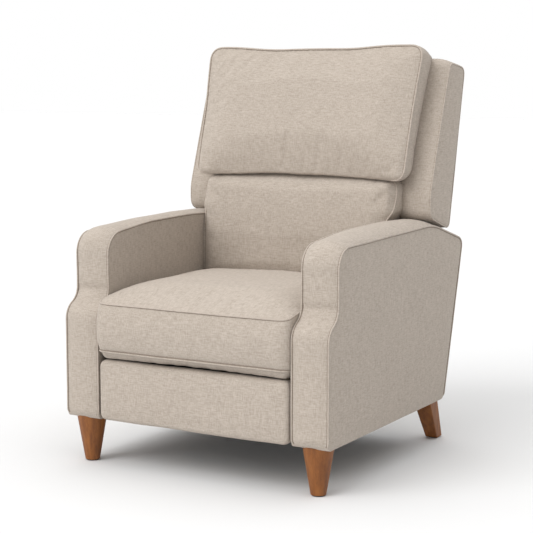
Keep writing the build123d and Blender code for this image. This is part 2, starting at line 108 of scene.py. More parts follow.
# ---- outlines
def rounded_outline(corners, step=0.005):
    """Closed polyline through the corners, each rounded to its own radius, in even small steps."""
    points = []
    count = len(corners)
    for index, (y, z, radius) in enumerate(corners):
        here = np.array((y, z))
        back = np.array(corners[index - 1][:2]) - here
        ahead = np.array(corners[(index + 1) % count][:2]) - here
        back_dir = back / np.linalg.norm(back)
        ahead_dir = ahead / np.linalg.norm(ahead)
        half = math.acos(np.clip(back_dir @ ahead_dir, -1, 1)) / 2
        reach = radius / math.tan(half)
        start = here + back_dir * reach
        end = here + ahead_dir * reach
        bisector = back_dir + ahead_dir
        centre = here + bisector / np.linalg.norm(bisector) * radius / math.sin(half)
        sweep = math.pi - 2 * half
        steps = max(4, int(sweep * radius / step) + 1)
        first = start - centre
        last = end - centre
        for k in range(steps + 1):
            share = k / steps
            weight_a = math.sin((1 - share) * sweep) / math.sin(sweep)
            weight_b = math.sin(share * sweep) / math.sin(sweep)
            points.append(centre + first * weight_a + last * weight_b)
    return resampled(np.array(points), step)


def resampled(points, step):
    """The same closed line with points every step or so."""
    closed = np.vstack([points, points[:1]])
    lengths = np.linalg.norm(np.diff(closed, axis=0), axis=1)
    along = np.concatenate([[0], np.cumsum(lengths)])
    count = int(along[-1] / step)
    wanted = np.arange(count) * along[-1] / count
    return np.stack([np.interp(wanted, along, closed[:, k]) for k in range(closed.shape[1])], axis=1)


def outward(outline):
    """Unit normals of a closed outline, pointing out of it."""
    ahead = np.roll(outline, -1, axis=0) - np.roll(outline, 1, axis=0)
    normal = np.stack([ahead[:, 1], -ahead[:, 0]], axis=1)
    normal /= np.linalg.norm(normal, axis=1)[:, None]
    area = np.sum(outline[:, 0] * np.roll(outline[:, 1], -1) - np.roll(outline[:, 0], -1) * outline[:, 1])
    return normal if area > 0 else -normal


def rectangle(half_width, low, high, low_radius, high_radius, step=0.006):
    """Outline of a panel that is centred across the chair."""
    corners = [
        (-half_width, low, low_radius), (half_width, low, low_radius),
        (half_width, high, high_radius), (-half_width, high, high_radius)]
    return rounded_outline(corners, step)


def inside(points, outline):
    """Which points lie inside the closed outline."""
    result = np.zeros(len(points), bool)
    ends = np.roll(outline, -1, axis=0)
    for (a0, b0), (a1, b1) in zip(outline, ends):
        if b0 == b1:
            continue
        crosses = (b0 > points[:, 1]) != (b1 > points[:, 1])
        at = a0 + (points[:, 1] - b0) * (a1 - a0) / (b1 - b0)
        result ^= crosses & (points[:, 0] < at)
    return result


def distance_to(points, outline):
    """Distance from each point to the nearest corner of the outline."""
    best = np.full(len(points), np.inf)
    for corner in outline:
        best = np.minimum(best, np.hypot(points[:, 0] - corner[0], points[:, 1] - corner[1]))
    return best


def filled(outline, spacing):
    """Even triangles inside an outline: points (the outline's first), triangles, depth inside it."""
    low = outline.min(axis=0)
    high = outline.max(axis=0)
    rows = np.arange(low[1] + spacing, high[1], spacing * 0.87)
    grid = []
    for k, b in enumerate(rows):
        shift = spacing / 2 if k % 2 else 0.0
        grid += [(a, b) for a in np.arange(low[0] + shift, high[0], spacing)]
    grid = np.array(grid)
    grid = grid[inside(grid, outline)]
    depth = distance_to(grid, outline)
    grid = grid[depth > 0.55 * spacing]
    points = np.vstack([outline, grid])
    count = len(outline)
    vectors = [Vector(p) for p in points]
    found = delaunay_2d_cdt(vectors, [], [list(range(count))], 1, 1e-7)
    original = [ids[0] for ids in found[3]]
    triangles = [tuple(original[v] for v in face) for face in found[2]]
    return points, triangles, distance_to(points, outline)


# ---- meshes
def linked_object(name, data):
    obj = bpy.data.objects.new(name, data)
    bpy.context.scene.collection.objects.link(obj)
    return obj


def mesh_object(name, verts, faces, sharp_angle=55):
    mesh = bpy.data.meshes.new(name)
    mesh.from_pydata([tuple(v) for v in verts], [], faces)
    mesh.validate()
    mesh.update()
    obj = linked_object(name, mesh)
    outside_normals(mesh)
    mesh.shade_smooth()
    mesh.set_sharp_from_angle(angle=math.radians(sharp_angle))
    return obj


def outside_normals(mesh):
    """Turn every face outwards, judged by the closed mesh's volume."""
    volume = 0.0
    for polygon in mesh.polygons:
        a, *rest = [mesh.vertices[v].co for v in polygon.vertices]
        for b, c in zip(rest, rest[1:]):
            volume += a.dot(b.cross(c))
    if volume < 0:
        mesh.flip_normals()


def padded_mesh(name, outline, place, profile, spacing, front, back, sharp_angle=55):
    """A closed padded form: two panels and the strip that joins them.

    place(ab, t, h) gives world points, t = 0 on the back panel and 1 on the front one,
    h metres out of the front.  profile lists (t, outward offset) down the strip, and
    front(ab, depth) and back(ab, depth) give how far each panel swells.
    Returns the object and the vertex numbers of the front and the back seam.
    """
    normal = outward(outline)
    count = len(outline)
    verts = []
    rings = []
    edges = []
    for t, offset in profile:
        amount = offset(outline) if callable(offset) else np.full(count, offset)
        edges.append(outline + normal * amount[:, None])
        rings.append(list(range(len(verts), len(verts) + count)))
        verts += list(place(edges[-1], np.full(count, t), np.zeros(count)))
    faces = []
    for upper, lower in zip(rings, rings[1:]):
        for k in range(count):
            after = (k + 1) % count
            faces.append((upper[k], upper[after], lower[after], lower[k]))
    for end, swell, turn in ((0, front, 1), (-1, back, -1)):
        points, triangles, depth = filled(edges[end], spacing)
        inner = points[count:]
        height = swell(points, depth)[count:] * turn
        numbers = rings[end] + list(range(len(verts), len(verts) + len(inner)))
        verts += list(place(inner, np.full(len(inner), profile[end][0]), height))
        for a, b, c in triangles:
            face = (numbers[a], numbers[b], numbers[c])
            faces.append(face if turn < 0 else face[::-1])
    obj = mesh_object(name, verts, faces, sharp_angle)
    return obj, rings[0], rings[-1]


def ease(value, start, end):
    """0 before start, 1 after end, smooth between them."""
    share = np.clip((value - start) / (end - start), 0, 1)
    return share * share * (3 - 2 * share)


def dome(height, reach, power=2.0):
    """Swelling that rises from the seam to full height at reach metres inside it."""
    def swell(points, depth):
        share = np.clip(depth / reach, 0, 1)
        return height * (1 - (1 - share) ** power)
    return swell


def flat(points, depth):
    """A panel that doesn't swell."""
    return np.zeros(len(points))


def ripple(obj, size, amount, seed):
    """Soft unevenness of stuffed cloth, a fraction of a millimetre to a few millimetres."""
    mesh = obj.data
    shift = Vector((seed * 3.1, seed * 1.7, seed * 5.3))
    normals = [v.normal.copy() for v in mesh.vertices]
    for vertex, normal in zip(mesh.vertices, normals):
        vertex.co += normal * noise.noise(vertex.co / size + shift) * amount
    mesh.update()


def inflate(obj, pinned, pressure, cap, slack, frames=20):
    """Blow a cushion up with cloth simulation; the seams stay put and no point moves beyond cap."""
    group = obj.vertex_groups.new(name="seams")
    group.add(sorted(set(pinned)), 1.0, "REPLACE")
    rest = np.array([v.co for v in obj.data.vertices])
    cloth = obj.modifiers.new("cloth", "CLOTH")
    settings = cloth.settings
    settings.quality = 6
    settings.mass = 0.15
    settings.tension_stiffness = 18
    settings.compression_stiffness = 12
    settings.shear_stiffness = 6
    settings.bending_stiffness = 0.6
    settings.vertex_group_mass = "seams"
    settings.use_pressure = True
    settings.uniform_pressure_force = pressure
    settings.shrink_min = -slack
    settings.effector_weights.gravity = 0
    cloth.collision_settings.use_collision = False
    scene = bpy.context.scene
    for number in range(1, frames + 1):
        scene.frame_set(number)
    blown = obj.evaluated_get(bpy.context.evaluated_depsgraph_get())
    moved = np.array([v.co for v in blown.data.vertices]) - rest
    length = np.linalg.norm(moved, axis=1)
    scale = np.minimum(1, cap / np.maximum(length, 1e-9))
    obj.modifiers.remove(cloth)
    scene.frame_set(1)
    final = rest + moved * scale[:, None]
    obj.data.vertices.foreach_set("co", final.ravel())
    obj.vertex_groups.clear()
    obj.data.update()


def subdivide(obj):
    modifier = obj.modifiers.new("smooth", "SUBSURF")
    modifier.levels = 1
    modifier.render_levels = 1
    modifier.boundary_smooth = "PRESERVE_CORNERS"


def tube(verts, faces, line, radius, sides=10):
    """Add a round cord along a closed line of points to the lists of a mesh."""
    count = len(line)
    tangent = np.roll(line, -1, axis=0) - np.roll(line, 1, axis=0)
    tangent /= np.linalg.norm(tangent, axis=1)[:, None]
    no_axis = (0.3, 0.5, 0.8)
    across = np.cross(tangent[0], no_axis)
    first = len(verts)
    for k in range(count):
        across = across - tangent[k] * (across @ tangent[k])
        across /= np.linalg.norm(across)
        other = np.cross(tangent[k], across)
        for side in range(sides):
            angle = 2 * math.pi * side / sides
            verts.append(line[k] + radius * (across * math.cos(angle) + other * math.sin(angle)))
    ahead = np.array(verts[first]) - line[0]
    ring = np.array(verts[first + (count - 1) * sides:first + count * sides]) - line[-1]
    closing_twist = int(np.argmax(ring @ ahead))
    for k in range(count):
        here = first + k * sides
        after = first + ((k + 1) % count) * sides
        twist = closing_twist if k == count - 1 else 0
        for side in range(sides):
            a = here + (side + twist) % sides
            b = here + (side + 1 + twist) % sides
            faces.append((a, b, after + (side + 1) % sides, after + side))


def smoothed_line(line, rounds=2):
    """The same closed line with its small kinks averaged out."""
    for _ in range(rounds):
        line = (np.roll(line, 1, axis=0) + 2 * line + np.roll(line, -1, axis=0)) / 4
    return line


def sunk(line, core, depth):
    """A seam moved into the padding, at 45 degrees to both panels that meet in it."""
    centre = line.mean(axis=0)
    plane = np.linalg.svd(line - centre)[2][2]
    if plane @ (core - centre) < 0:
        plane = -plane
    tangent = np.roll(line, -1, axis=0) - np.roll(line, 1, axis=0)
    tangent /= np.linalg.norm(tangent, axis=1)[:, None]
    inner = np.cross(plane, tangent)
    if np.sum(inner * (centre - line)) < 0:
        inner = -inner
    return line + (inner + plane) * depth / math.sqrt(2)


def welt(name, lines, cover, body, radius=WELT_R):
    """Self-fabric piping along a cover's seams in lighter linen, a painted highlight, and a cord of dark
    linen in the crease that it lies in, painted shade.
    """
    core = np.mean([v.co for v in cover.data.vertices], axis=0)
    painted_shade_lines = [sunk(line, core, PAINTED_SHADE_DEPTH) for line in lines]
    # Two cords: the welt in lighter linen (painted highlight), and a darker cord sunk behind it (painted
    # shade in the crease).
    for title, paths, thickness, material in (
            (f"{name}_welt", lines, radius, LINEN_WELT_PAINTED_HIGHLIGHT),
            (f"{name}_painted_shade", painted_shade_lines, radius + PAINTED_SHADE_SPREAD, LINEN_PAINTED_SHADE)):
        verts = []
        faces = []
        for line in paths:
            tube(verts, faces, smoothed_line(line), thickness)
        finish_piece(mesh_object(title, verts, faces), body, material)


def finish_piece(obj, body, material, nodes=()):
    """Give a piece its material and its body, and hide the nodes that it stands for."""
    obj.data.materials.clear()
    obj.data.materials.append(material)
    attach(obj, body)
    if nodes:
        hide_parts(*nodes)


def seam_line(obj, ring, push=0.0, away_from=None):
    """World points of a seam, pushed away from a point by a little."""
    line = np.array([obj.data.vertices[v].co for v in ring])
    if push:
        centre = line.mean(axis=0) if away_from is None else np.asarray(away_from)
        out = line - centre
        line = line + out / np.linalg.norm(out, axis=1)[:, None] * push
    return line


# ---- materials
def node_material(name):
    material = bpy.data.materials.new(name)
    material.use_nodes = True
    tree = material.node_tree
    return material, tree, tree.nodes["Principled BSDF"]


def math_node(tree, operation, first, second=None):
    node = tree.nodes.new("ShaderNodeMath")
    node.operation = operation
    for socket, value in zip(node.inputs, (first, second)):
        if value is None:
            continue
        if isinstance(value, (int, float)):
            socket.default_value = value
        else:
            tree.links.new(value, socket)
    return node.outputs[0]


def noise_node(tree, coordinates, stretch, scale, detail=2.0):
    mapping = tree.nodes.new("ShaderNodeMapping")
    mapping.inputs["Scale"].default_value = stretch
    tree.links.new(coordinates, mapping.inputs["Vector"])
    texture = tree.nodes.new("ShaderNodeTexNoise")
    texture.inputs["Scale"].default_value = scale
    texture.inputs["Detail"].default_value = detail
    tree.links.new(mapping.outputs[0], texture.inputs["Vector"])
    return texture.outputs["Fac"]


def ramp_node(tree, factor, stops):
    ramp = tree.nodes.new("ShaderNodeValToRGB")
    elements = ramp.color_ramp.elements
    while len(elements) < len(stops):
        elements.new(0.5)
    for element, (position, colour) in zip(elements, stops):
        element.position = position
        element.color = (*colour, 1)
    tree.links.new(factor, ramp.inputs["Fac"])
    return ramp.outputs["Color"]


def mix_value(tree, factor, a, b):
    node = tree.nodes.new("ShaderNodeMix")
    tree.links.new(factor, node.inputs["Factor"])
    tree.links.new(a, node.inputs["A"])
    tree.links.new(b, node.inputs["B"])
    return node.outputs["Result"]


def bump_node(tree, shader, height, strength, distance):
    bump = tree.nodes.new("ShaderNodeBump")
    bump.inputs["Strength"].default_value = strength
    bump.inputs["Distance"].default_value = distance
    tree.links.new(height, bump.inputs["Height"])
    tree.links.new(bump.outputs["Normal"], shader.inputs["Normal"])


def linen(name, dark, middle, light):
    """Plain-woven linen look: crosswise and lengthwise threads of uneven thickness, with slubs."""
    material, tree, shader = node_material(name)
    coordinates = tree.nodes.new("ShaderNodeTexCoord")
    place = coordinates.outputs["Object"]
    split = tree.nodes.new("ShaderNodeSeparateXYZ")
    tree.links.new(coordinates.outputs["Normal"], split.inputs[0])
    upward = math_node(tree, "ABSOLUTE", split.outputs["Z"])
    steepest_level = 0.72
    level = math_node(tree, "GREATER_THAN", upward, steepest_level)

    # Noise cells per metre across a thread and along it.
    fine, long = 620.0, 75.0
    weft = mix_value(
        tree, level, noise_node(tree, place, (long, long, fine), 1.0),
        noise_node(tree, place, (long, fine, long), 1.0))
    warp = mix_value(
        tree, level, noise_node(tree, place, (fine, fine, long), 1.0),
        noise_node(tree, place, (fine, long, long), 1.0))
    weave = math_node(tree, "MULTIPLY", math_node(tree, "ADD", weft, warp), 0.5)
    cloud = noise_node(tree, place, (1, 1, 1), 40.0)
    weave_share, cloud_share = 0.94, 0.06
    tone = math_node(tree, "MULTIPLY", weave, weave_share)
    tone = math_node(tree, "ADD", tone, math_node(tree, "MULTIPLY", cloud, cloud_share))
    colour = ramp_node(tree, tone, [(0.32, dark), (0.50, middle), (0.68, light)])
    tree.links.new(colour, shader.inputs["Base Color"])
    shader.inputs["Roughness"].default_value = 0.92
    shader.inputs["Specular IOR Level"].default_value = 0.25
    shader.inputs["Sheen Weight"].default_value = 0.12
    shader.inputs["Sheen Roughness"].default_value = 0.6
    bump_node(tree, shader, weave, 0.30, 0.0006)
    return material


def wood(name, dark, middle, light, along, roughness):
    """Wood with its grain along one axis, 0 to 2 for X to Z."""
    material, tree, shader = node_material(name)
    place = tree.nodes.new("ShaderNodeTexCoord").outputs["Object"]
    # Noise cells per metre across the grain and along it.
    stretch = [90.0, 90.0, 90.0]
    stretch[along] = 5.0
    rings = noise_node(tree, place, stretch, 1.0, 4.0)
    pores = [700.0, 700.0, 700.0]
    pores[along] = 30.0
    pore = noise_node(tree, place, pores, 1.0, 1.0)
    tone = math_node(tree, "MULTIPLY", rings, 0.75)
    tone = math_node(tree, "ADD", tone, math_node(tree, "MULTIPLY", pore, 0.25))
    colour = ramp_node(tree, tone, [(0.33, dark), (0.50, middle), (0.66, light)])
    tree.links.new(colour, shader.inputs["Base Color"])
    shader.inputs["Roughness"].default_value = roughness
    bump_node(tree, shader, tone, 0.20, 0.0006)
    return material


def speckled(name, colour, spread, roughness, metallic, scale, bump=0.1):
    """Paint, zinc, plastic or foam: one colour with fine variation."""
    material, tree, shader = node_material(name)
    place = tree.nodes.new("ShaderNodeTexCoord").outputs["Object"]
    grain = noise_node(tree, place, (1, 1, 1), scale, 3.0)
    dark = tuple(c * (1 - spread) for c in colour)
    light = tuple(min(1, c * (1 + spread)) for c in colour)
    mixed = ramp_node(tree, grain, [(0.35, dark), (0.65, light)])
    tree.links.new(mixed, shader.inputs["Base Color"])
    shader.inputs["Roughness"].default_value = roughness
    shader.inputs["Metallic"].default_value = metallic
    bump_node(tree, shader, grain, bump, 0.0004)
    return material


# Each cloth and wood has a dark, a middle and a light tone.
NATURAL_LINEN = (0.33, 0.280, 0.232), (0.425, 0.366, 0.310), (0.52, 0.456, 0.397)
# The piping is the cover's own linen painted a little lighter: a painted highlight along every welt.
HIGHLIGHTED_PIPING_LINEN = (0.35, 0.297, 0.247), (0.445, 0.383, 0.326), (0.54, 0.472, 0.412)
# Dark linen for the cord sunk behind each welt: painted shade in the seam's crease.
PAINTED_SHADE_LINEN = (0.175, 0.138, 0.108), (0.225, 0.183, 0.147), (0.28, 0.232, 0.190)
CHESTNUT = (0.148, 0.043, 0.005), (0.222, 0.070, 0.009), (0.295, 0.103, 0.017)
# Near-black wood tones, used only for the seat's front rail.
NEAR_BLACK_WOOD = (0.014, 0.011, 0.009), (0.022, 0.018, 0.015), (0.035, 0.029, 0.024)
RAW_WOOD = (0.42, 0.29, 0.17), (0.55, 0.40, 0.25), (0.66, 0.51, 0.34)
SATIN = 0.48
MATT = 0.7

LINEN = linen("linen", *NATURAL_LINEN)
# Welt linen, slightly lighter than the cover: painted highlight.
LINEN_WELT_PAINTED_HIGHLIGHT = linen("linen_welt_painted_highlight", *HIGHLIGHTED_PIPING_LINEN)
# Darker linen, painted shade behind each welt.
LINEN_PAINTED_SHADE = linen("linen_painted_shade", *PAINTED_SHADE_LINEN)
LEG_WOOD = wood("leg_wood", *CHESTNUT, 2, SATIN)
DARK_WOOD = wood("near_black_wood", *NEAR_BLACK_WOOD, 0, MATT)
FRAME_WOOD_X = wood("frame_wood_across", *RAW_WOOD, 0, MATT)
FRAME_WOOD_Y = wood("frame_wood_along", *RAW_WOOD, 1, MATT)
FRAME_WOOD_Z = wood("frame_wood_upright", *RAW_WOOD, 2, MATT)
BLACK_STEEL = speckled("black_steel", (0.035, 0.035, 0.038), 0.25, 0.42, 0.6, 900)
ZINC = speckled("zinc", (0.56, 0.56, 0.57), 0.12, 0.35, 0.95, 600)
DUST_CLOTH = speckled("dust_cloth", (0.022, 0.022, 0.024), 0.4, 0.95, 0.0, 1400, 0.4)
WEBBING = speckled("webbing", (0.34, 0.26, 0.17), 0.2, 0.9, 0.0, 700, 0.4)
GLIDE = speckled("glide", (0.05, 0.045, 0.04), 0.2, 0.6, 0.0, 500)


# ---- arms
# How far the boxing strip bulges, and how much more it bulges along the armrest.
STRIP_CROWN = 0.0075
TOP_CROWN = 0.0065

# How far the armrest's inner edge stands above its outer one.
TOP_LIFT = 0.0135

# The strip's fold just above the step in the arm's front: height, half its width, depth.
PUCKER_Z = 0.424
PUCKER_HALF = 0.008
PUCKER_DEPTH = 0.0032

# How far the welts turn in and up along the underside.
TUCK = 0.007


def arm_place(sign):
    """The arm's points in the frame; the top's inner edge is the higher one."""
    def place(ab, t, h):
        y, z = ab[:, 0], ab[:, 1]
        lift = TOP_LIFT * ease(y, 0.02, 0.24) * (1 - 0.6 * ease(y, 0.38, 0.56)) * ease(z, 0.50, 0.55)
        lift *= 1 - ease(y, 0.56, 0.70)
        x = ARM_IN + t * (ARM_OUT - ARM_IN) + h
        return np.stack([sign * x, y + FRONT_Y, z + lift * (1 - t)], axis=1)
    return place


def arm_strip(t):
    """How far the boxing strip stands out, at share t of its width."""
    rise = 1 - abs(2 * t - 1) ** 2.4

    def offset(line):
        y, z = line[:, 0], line[:, 1]
        on_top = ease(z, 0.48, 0.56)
        crown = STRIP_CROWN + TOP_CROWN * on_top * (1 - ease(y, 0.50, 0.62))
        crown *= ease(z, ARM_LOW, 0.135)
        pucker = np.exp(-((z - PUCKER_Z) / PUCKER_HALF) ** 2) * (y < 0.06)
        return rise * crown - PUCKER_DEPTH * pucker * min(1, rise * 2)
    return offset


def arm(side, sign):
    outline = rounded_outline(ARM_CORNERS)
    shares = (1.0, 0.985, 0.95, 0.89, 0.80, 0.68, 0.56, 0.44, 0.32, 0.20, 0.11, 0.05, 0.015, 0.0)
    profile = [(t, arm_strip(t)) for t in shares]
    obj, outer, inner = padded_mesh(
        f"arm_cover_{side}", outline, arm_place(sign), profile, 0.011, dome(0.0035, 0.06), flat)
    ripple(obj, 0.09, 0.0012, 1 + sign)
    nodes = [f"arm_{part}_{side}" for part in ("outer_side", "inner_side", "boxing")]
    finish_piece(obj, "base", LINEN, nodes)
    arm_welts(obj, side, sign, (outer, inner))


def arm_welts(obj, side, sign, rings):
    """Piping along the outer and the inner seam; the inner one keeps clear of the cushions."""
    centre = (0, 0.33 + FRONT_Y, 0.34)
    clearance = 0.0008
    lines = [seam_line(obj, ring, 0.0015, centre) for ring in rings]
    for line, x, inward in zip(lines, (ARM_OUT, ARM_IN + clearance), (-1, 1)):
        tucked = 1 - ease(line[:, 2], ARM_LOW, 0.124)
        line[:, 0] = sign * (x + inward * TUCK * tucked)
        line[:, 2] += TUCK * tucked
    welt(f"arm_{side}", lines, obj, "base", radius=ARM_WELT_R)


# ---- seat
# Heights of the cushion's lower seam, and of its upper one at the front edge.
SEAT_SEAM_LOW = 0.285
SEAT_SEAM_FRONT = 0.399


def seat_outline():
    """The cushion from above; its front edge bellies out a little."""
    outline = rectangle(SEAT_HALF, -0.010, 0.458, 0.024, 0.030, 0.0065)
    belly = 0.005 * np.clip(1 - (outline[:, 0] / SEAT_HALF) ** 2, 0, 1)
    outline[:, 1] -= belly * (outline[:, 1] < 0.1)
    return outline


def seat_place(ab, t, h):
    """Points between the lower seam and the upper one, which rises from the front edge."""
    x, y = ab[:, 0], ab[:, 1]
    top = SEAT_SEAM_FRONT + 0.024 * (1 - np.exp(-np.clip(y + 0.006, 0, 1) / 0.08))
    top += 0.013 * (1 - (x / SEAT_HALF) ** 2) * ease(y, 0.30, 0.45)
    z = SEAT_SEAM_LOW + t * (top - SEAT_SEAM_LOW) + h
    return np.stack([x, y + FRONT_Y, z], axis=1)


def seat_cushion():
    def top_swell(points, depth):
        share = np.clip(depth / 0.13, 0, 1)
        rear = ease(points[:, 1], 0.30, 0.45)
        return (0.020 - 0.012 * rear) * (1 - (1 - share) ** 2.4)

    def strip_offset(t):
        rise = 1 - abs(2 * t - 1) ** 3.0
        return lambda line: rise * (0.0022 + 0.0068 * (1 - ease(line[:, 1], 0.0, 0.035)))

    profile = [(t, strip_offset(t)) for t in (1, 0.97, 0.90, 0.78, 0.62, 0.46, 0.30, 0.16, 0.07, 0.02, 0)]
    obj, top, bottom = padded_mesh(
        "seat_cushion_cover", seat_outline(), seat_place, profile, 0.0075, top_swell, dome(0.0205, 0.014))
    inflate(obj, top + bottom, pressure=4, cap=0.008, slack=0.008)
    ripple(obj, 0.12, 0.0020, 5)
    keep_within(obj, x_limit=0.2642, z_low=0.2645)
    finish_piece(obj, "seat", LINEN, ["seat_cushion"])
    subdivide(obj)
    seat_welts(obj, (top, bottom))


def seat_welts(obj, rings):
    """Piping along both seams, kept clear of the arms; the lower one stands out at the front."""
    centre = (0, 0.2 + FRONT_Y, 0.345)
    lines = [seam_line(obj, ring, 0.0008, centre) for ring in rings]
    for line in lines:
        line[:, 0] = np.clip(line[:, 0], -WELT_REACH, WELT_REACH)
    lower = lines[1]
    lower[:, 1] -= 0.0022 * (lower[:, 1] < 0.05 + FRONT_Y)
    welt("seat_cushion", lines, obj, "seat")


def keep_within(obj, x_limit, z_low):
    """Squeeze a swollen piece between its neighbours."""
    for vertex in obj.data.vertices:
        vertex.co.x = max(-x_limit, min(x_limit, vertex.co.x))
        vertex.co.z = max(z_low, vertex.co.z)
    obj.data.update()


# ---- footrest and rear skirt
def soft_board(name, half, z_low, z_high, y_front, y_rear, radius, crown, body, node, face):
    """Flat upholstered panel with softly rounded edges and no welt; face is its padded side in Y."""
    outline = rectangle(half, z_low, z_high, radius + 0.004, radius + 0.004, 0.005)
    depth = y_rear - y_front

    def place(ab, t, h):
        share = t if face < 0 else 1 - t
        y = y_rear - share * depth + face * h
        return np.stack([ab[:, 0], y + FRONT_Y, ab[:, 1]], axis=1)

    profile = []
    arc_steps = 6
    for k in range(arc_steps + 1):
        angle = math.pi / 2 * k / arc_steps
        profile.append((1 - radius / depth * (1 - math.cos(angle)), radius * (math.sin(angle) - 1)))
    profile += [(0.3, 0.0), (0.1, -0.001), (0.0, -0.003)]
    obj, _, _ = padded_mesh(
        name, outline, place, profile, 0.010, dome(crown, 0.045), flat, sharp_angle=70)
    ripple(obj, 0.10, 0.0014, 9)
    finish_piece(obj, body, LINEN, [node])


# ---- back
def rear_y(z):
    """The back's rear face in side view."""
    lean = np.where(z > BEND_Z, LEAN_HIGH, LEAN_LOW)
    return BEND_Y + lean * (z - BEND_Z)


# Width of the strip over each wing, from its outer panel to the hollow for the cushions.
WING_STRIP = 0.090


def wing_strip(t):
    """How far the wings' strips stand out, at share t of the back's whole width."""
    from_edge = WING_OUT * (1 - abs(2 * t - 1))
    rise = math.sin(math.pi * from_edge / WING_STRIP) ** 0.6 if 0 < from_edge < WING_STRIP else 0.0

    def offset(line):
        on_top = ease(line[:, 1], 0.90, 0.965)
        under = 1 - ease(line[:, 1], 0.560, 0.600)
        return rise * (0.0065 + 0.0065 * on_top - 0.004 * under)
    return offset


def wing_place(ab, t, h):
    """The wings' points, pushed back to the core's front behind the lumbar cushion."""
    x = -WING_OUT + t * 2 * WING_OUT + h
    y, z = ab[:, 0], ab[:, 1]
    recessed = (1 - ease(np.abs(x), 0.252, 0.264)) * (1 - ease(z, 0.680, 0.694))
    y = y + recessed * np.clip(rear_y(z) - CORE_FRONT - y, 0, None)
    return np.stack([x, y + FRONT_Y, z], axis=1)


def back_cover():
    """The T-shaped upper part of the back: one padded body across both wings."""
    outline = rounded_outline(WING_CORNERS, 0.006)
    edge_steps = [0, 0.002, 0.005, 0.010, 0.018, 0.028, 0.040, 0.052, 0.064, 0.075, 0.084, WING_STRIP]
    middle_steps = [0.093, 0.097, 0.102, 0.12, 0.18, 0.25, 0.32, WING_OUT]
    near = [step / (2 * WING_OUT) for step in edge_steps + middle_steps]
    shares = sorted(set(near + [1 - t for t in near]), reverse=True)
    profile = [(t, wing_strip(t)) for t in shares]
    obj, right, left = padded_mesh(
        "back_upper_cover", outline, wing_place, profile, 0.010, dome(0.003, 0.04), dome(0.003, 0.04))
    ripple(obj, 0.10, 0.0014, 3)
    finish_piece(obj, "back", LINEN, ["back_wing_left", "back_wing_right"])
    lines = []
    for ring, sign in ((right, 1), (left, -1)):
        line = seam_line(obj, ring, 0.0003)
        line[:, 0] = sign * (WING_OUT - 0.0006)
        lines.append(line)
    welt("back_upper", lines, obj, "back")


def lower_back():
    """The plain part of the back between the arms."""
    outline = rounded_outline(LOWER_BACK_CORNERS, 0.005)

    def place(ab, t, h):
        x = LOWER_BACK_HALF * (2 * t - 1) + h
        return np.stack([x, ab[:, 0] + FRONT_Y, ab[:, 1]], axis=1)

    profile = [(t, 0.0) for t in np.linspace(1, 0, 24)]
    obj, _, _ = padded_mesh("back_lower_pad", outline, place, profile, 0.008, flat, flat)
    finish_piece(obj, "back", LINEN, ["back_core_pad"])


def outer_back():
    """Rear panel: wide above the arms, narrow between them."""
    corners = [
        (-0.255, 0.282, 0.012), (0.255, 0.282, 0.012), (0.255, 0.562, 0.004), (0.347, 0.562, 0.012),
        (0.347, 0.948, 0.014), (-0.347, 0.948, 0.014), (-0.347, 0.562, 0.012), (-0.255, 0.562, 0.004)]
    outline = rounded_outline(corners, 0.006)

    def place(ab, t, h):
        y = rear_y(ab[:, 1]) - 0.0095 + t * 0.007 + h
        return np.stack([ab[:, 0], y + FRONT_Y, ab[:, 1]], axis=1)

    profile = [(1, -0.003), (0.85, -0.001), (0.6, 0), (0.0, 0)]
    obj, rear, _ = padded_mesh(
        "outer_back_panel", outline, place, profile, 0.011, dome(0.0035, 0.05), flat)
    ripple(obj, 0.13, 0.0012, 8)
    finish_piece(obj, "back", LINEN, ["outer_back"])
    line = seam_line(obj, rear)
    line[:, 1] -= 0.001
    welt("outer_back", [line], obj, "back", radius=OUTER_BACK_WELT_R)


# ---- lumbar cushion
# Heights of its lower and upper seam.
LUMBAR_LOW = 0.414
LUMBAR_TOP = 0.681


def lumbar_crown(x):
    """How far the upper edge rises towards its middle."""
    return 0.0065 * np.clip(1 - (x / LUMBAR_HALF) ** 2, 0, 1)


def lumbar_seam_y(z):
    """The front seam in side view, which swings back above the arms."""
    return 0.472 + 0.034 * ease(z, 0.560, 0.635) + 0.0175 * ease(z, 0.62, 0.69)


def lumbar_face_y(z):
    """The front panel's middle in side view, which leans back towards its top."""
    return 0.4620 + 0.026 * np.clip((z - 0.530) / 0.150, 0, 1) ** 1.2


def lumbar_place(ab, t, h):
    """Points between the core pad and the front seam; the cushion is wider above the arms."""
    z = LUMBAR_LOW + ab[:, 1]
    width = 0.950 + 0.050 * ease(z, 0.575, 0.606)
    rear = rear_y(z) - CORE_FRONT - 0.001
    front = np.minimum(lumbar_seam_y(z), rear - 0.012)
    y = rear + (front - rear) * t
    return np.stack([ab[:, 0] * width, y - h + FRONT_Y, z + 0.08 * h], axis=1)


def lumbar_swell(points, depth):
    """The front panel from the seam out to the face, rounded at the sides and the top."""
    z = LUMBAR_LOW + points[:, 1]
    side = np.clip((LUMBAR_HALF - np.abs(points[:, 0])) / 0.028, 0, 1)
    above = np.clip((LUMBAR_TOP + 0.001 + lumbar_crown(points[:, 0]) - z) / 0.024, 0, 1)
    rounding = np.sqrt(1 - (1 - side) ** 2.2) * np.sqrt(1 - (1 - above) ** 2.2)
    return (lumbar_seam_y(z) - lumbar_face_y(z)) * rounding * np.clip(depth / 0.008, 0, 1)


